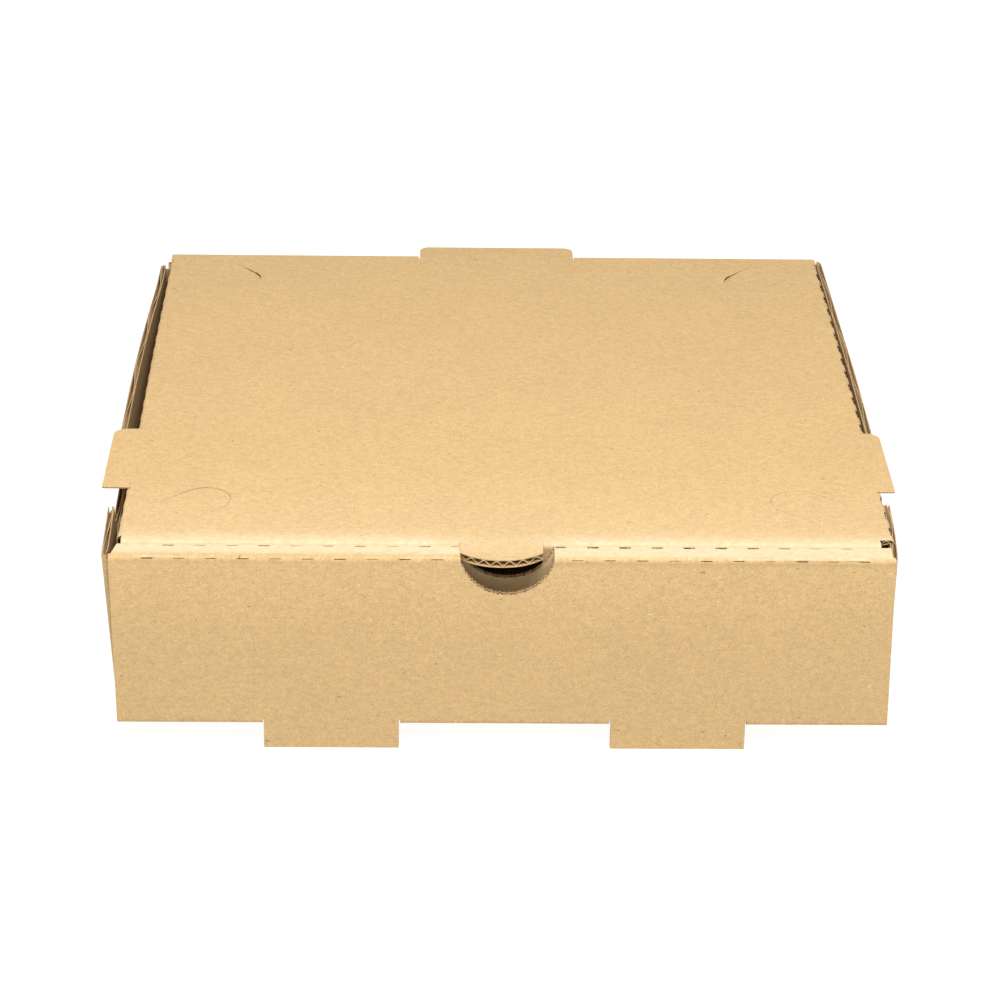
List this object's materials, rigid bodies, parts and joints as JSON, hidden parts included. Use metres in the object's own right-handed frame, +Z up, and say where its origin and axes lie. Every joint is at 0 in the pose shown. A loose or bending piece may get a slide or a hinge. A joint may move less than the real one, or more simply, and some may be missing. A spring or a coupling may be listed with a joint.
{
  "type": "pizza box",
  "caption": "Small shallow corrugated pizza box with a hinged lid, a roll-over front with a thumb notch, and tabs that lie in line with the lid and the front.",
  "frame": {"origin": "centre of the underside of the bottom panel, which the feet below the front panel reach past", "axes": "+Y to the hinged rear wall, +X to the right seen from the front, +Z up out of the box"},
  "size_m": [0.2156, 0.2224, 0.0569],
  "materials": {
    "board_tray": "uncoated kraft",
    "board_lid": "uncoated kraft"
  },
  "bodies": {
    "tray": {"tray": "board_tray"},
    "lid": {"lid": "board_lid"}
  },
  "joints": [
    {"name": "lid_hinge", "type": "hinge", "parent": "tray", "child": "lid", "pos_m": [0, 0.10665, 0.0494], "axis": [-1, 0, 0], "range_deg": [0, 180]}
  ]
}
